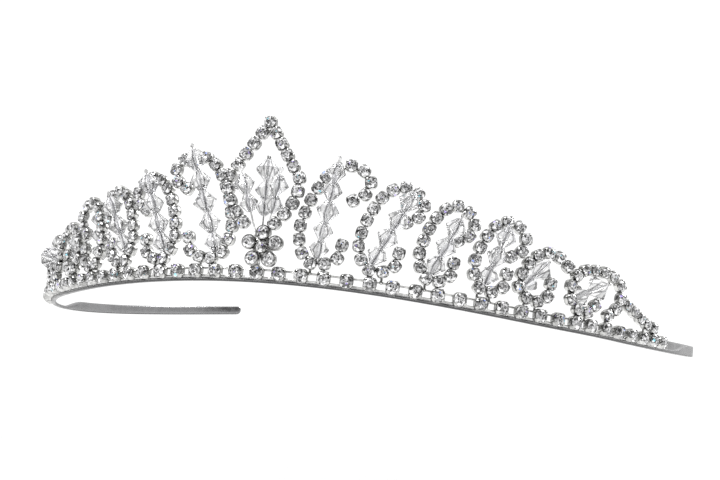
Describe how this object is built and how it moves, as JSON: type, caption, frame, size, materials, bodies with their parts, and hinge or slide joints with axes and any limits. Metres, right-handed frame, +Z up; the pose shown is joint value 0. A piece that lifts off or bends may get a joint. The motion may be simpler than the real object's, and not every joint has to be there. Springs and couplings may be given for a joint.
{
  "type": "bridal tiara",
  "caption": "Bridal tiara: open spring headband with a stone ladder row, cup-chain scrolls, crystal bead strands on wire pins and a centre kite over a flower.",
  "frame": {"origin": "on the table, under the middle of the bounding box", "axes": "+Z up, the front of the tiara faces -Y, +X is the viewer's right and the longest way across"},
  "size_m": [0.161, 0.1546, 0.0347],
  "materials": {
    "band": "silver-plated spring steel strip, brushed along its length",
    "cup_chain": "polished silver-plated cups and links",
    "pin_wire": "bright silver-plated wire",
    "stone_crystal": "clear faceted brilliants with foiled backs",
    "bead_crystal": "clear faceted bicone crystal"
  },
  "bodies": {
    "tiara": {"headband": "band", "row_stones": "stone_crystal", "tail_chains": "cup_chain", "kite_chain": "cup_chain", "kite_stones": "stone_crystal", "flower_cups": "cup_chain", "flower_stones": "stone_crystal", "centre_pin_fork": "pin_wire", "ladder_row_1": "cup_chain", "ladder_row_2": "cup_chain", "ladder_row_3": "cup_chain", "ladder_row_4": "cup_chain", "ladder_row_5": "cup_chain", "ladder_row_6": "cup_chain", "ladder_row_7": "cup_chain", "ladder_row_8": "cup_chain", "ladder_row_9": "cup_chain", "bead_pins_left": "pin_wire", "bead_pins_right": "pin_wire", "scroll_chain_left_1": "cup_chain", "scroll_chain_left_2": "cup_chain", "scroll_chain_left_3": "cup_chain", "scroll_chain_left_4": "cup_chain", "scroll_chain_left_5": "cup_chain", "scroll_chain_left_6": "cup_chain", "scroll_chain_right_1": "cup_chain", "scroll_chain_right_2": "cup_chain", "scroll_chain_right_3": "cup_chain", "scroll_chain_right_4": "cup_chain", "scroll_chain_right_5": "cup_chain", "scroll_chain_right_6": "cup_chain", "scroll_stones_left_1": "stone_crystal", "scroll_stones_left_2": "stone_crystal", "scroll_stones_left_3": "stone_crystal", "scroll_stones_left_4": "stone_crystal", "scroll_stones_left_5": "stone_crystal", "scroll_stones_left_6": "stone_crystal", "scroll_stones_right_1": "stone_crystal", "scroll_stones_right_2": "stone_crystal", "scroll_stones_right_3": "stone_crystal", "scroll_stones_right_4": "stone_crystal", "scroll_stones_right_5": "stone_crystal", "scroll_stones_right_6": "stone_crystal"},
    "strand_left_1": {"beads_left_1": "bead_crystal"},
    "strand_left_2": {"beads_left_2": "bead_crystal"},
    "strand_left_3": {"beads_left_3": "bead_crystal"},
    "strand_left_4": {"beads_left_4": "bead_crystal"},
    "strand_left_5": {"beads_left_5": "bead_crystal"},
    "strand_left_6": {"beads_left_6": "bead_crystal"},
    "strand_right_1": {"beads_right_1": "bead_crystal"},
    "strand_right_2": {"beads_right_2": "bead_crystal"},
    "strand_right_3": {"beads_right_3": "bead_crystal"},
    "strand_right_4": {"beads_right_4": "bead_crystal"},
    "strand_right_5": {"beads_right_5": "bead_crystal"},
    "strand_right_6": {"beads_right_6": "bead_crystal"},
    "strand_centre_middle": {"centre_beads_middle": "bead_crystal"},
    "strand_centre_left": {"centre_beads_left": "bead_crystal"},
    "strand_centre_right": {"centre_beads_right": "bead_crystal"}
  },
  "joints": [
    {"name": "spin_left_1", "type": "hinge", "parent": "tiara", "child": "strand_left_1", "pos_m": [-0.01253, -0.07062, 0.01748], "axis": [-0.2921, -0.1827, 0.9388], "continuous": true},
    {"name": "spin_left_2", "type": "hinge", "parent": "tiara", "child": "strand_left_2", "pos_m": [-0.02416, -0.06762, 0.015], "axis": [-0.2884, -0.2077, 0.9347], "continuous": true},
    {"name": "spin_left_3", "type": "hinge", "parent": "tiara", "child": "strand_left_3", "pos_m": [-0.03459, -0.06314, 0.01308], "axis": [-0.3515, -0.2066, 0.9131], "continuous": true},
    {"name": "spin_left_4", "type": "hinge", "parent": "tiara", "child": "strand_left_4", "pos_m": [-0.04276, -0.05445, 0.0123], "axis": [-0.2889, 0.3084, 0.9063], "continuous": true},
    {"name": "spin_left_5", "type": "hinge", "parent": "tiara", "child": "strand_left_5", "pos_m": [-0.05141, -0.0474, 0.01018], "axis": [-0.4809, 0.5632, 0.6719], "continuous": true},
    {"name": "spin_left_6", "type": "hinge", "parent": "tiara", "child": "strand_left_6", "pos_m": [-0.06163, -0.03962, 0.00862], "axis": [-0.826, 0.496, 0.2676], "continuous": true},
    {"name": "spin_right_1", "type": "hinge", "parent": "tiara", "child": "strand_right_1", "pos_m": [0.01366, -0.07227, 0.01626], "axis": [0.2379, -0.3681, 0.8988], "continuous": true},
    {"name": "spin_right_2", "type": "hinge", "parent": "tiara", "child": "strand_right_2", "pos_m": [0.02581, -0.06829, 0.01422], "axis": [0.5014, -0.2533, 0.8273], "continuous": true},
    {"name": "spin_right_3", "type": "hinge", "parent": "tiara", "child": "strand_right_3", "pos_m": [0.0352, -0.06299, 0.01221], "axis": [0.453, -0.2206, 0.8638], "continuous": true},
    {"name": "spin_right_4", "type": "hinge", "parent": "tiara", "child": "strand_right_4", "pos_m": [0.04423, -0.05718, 0.01197], "axis": [0.3654, -0.1576, 0.9174], "continuous": true},
    {"name": "spin_right_5", "type": "hinge", "parent": "tiara", "child": "strand_right_5", "pos_m": [0.0505, -0.04814, 0.01], "axis": [0.4517, 0.5645, 0.6909], "continuous": true},
    {"name": "spin_right_6", "type": "hinge", "parent": "tiara", "child": "strand_right_6", "pos_m": [0.06048, -0.04007, 0.0086], "axis": [0.6989, 0.5642, 0.4395], "continuous": true},
    {"name": "spin_centre_middle", "type": "hinge", "parent": "tiara", "child": "strand_centre_middle", "pos_m": [-0.00064, -0.06881, 0.0206], "axis": [-0.0693, 0.1189, 0.9905], "continuous": true},
    {"name": "spin_centre_left", "type": "hinge", "parent": "tiara", "child": "strand_centre_left", "pos_m": [-0.00308, -0.07304, 0.0191], "axis": [-0.2376, -0.329, 0.9139], "continuous": true},
    {"name": "spin_centre_right", "type": "hinge", "parent": "tiara", "child": "strand_centre_right", "pos_m": [0.00308, -0.07304, 0.0191], "axis": [0.2376, -0.329, 0.9139], "continuous": true}
  ]
}
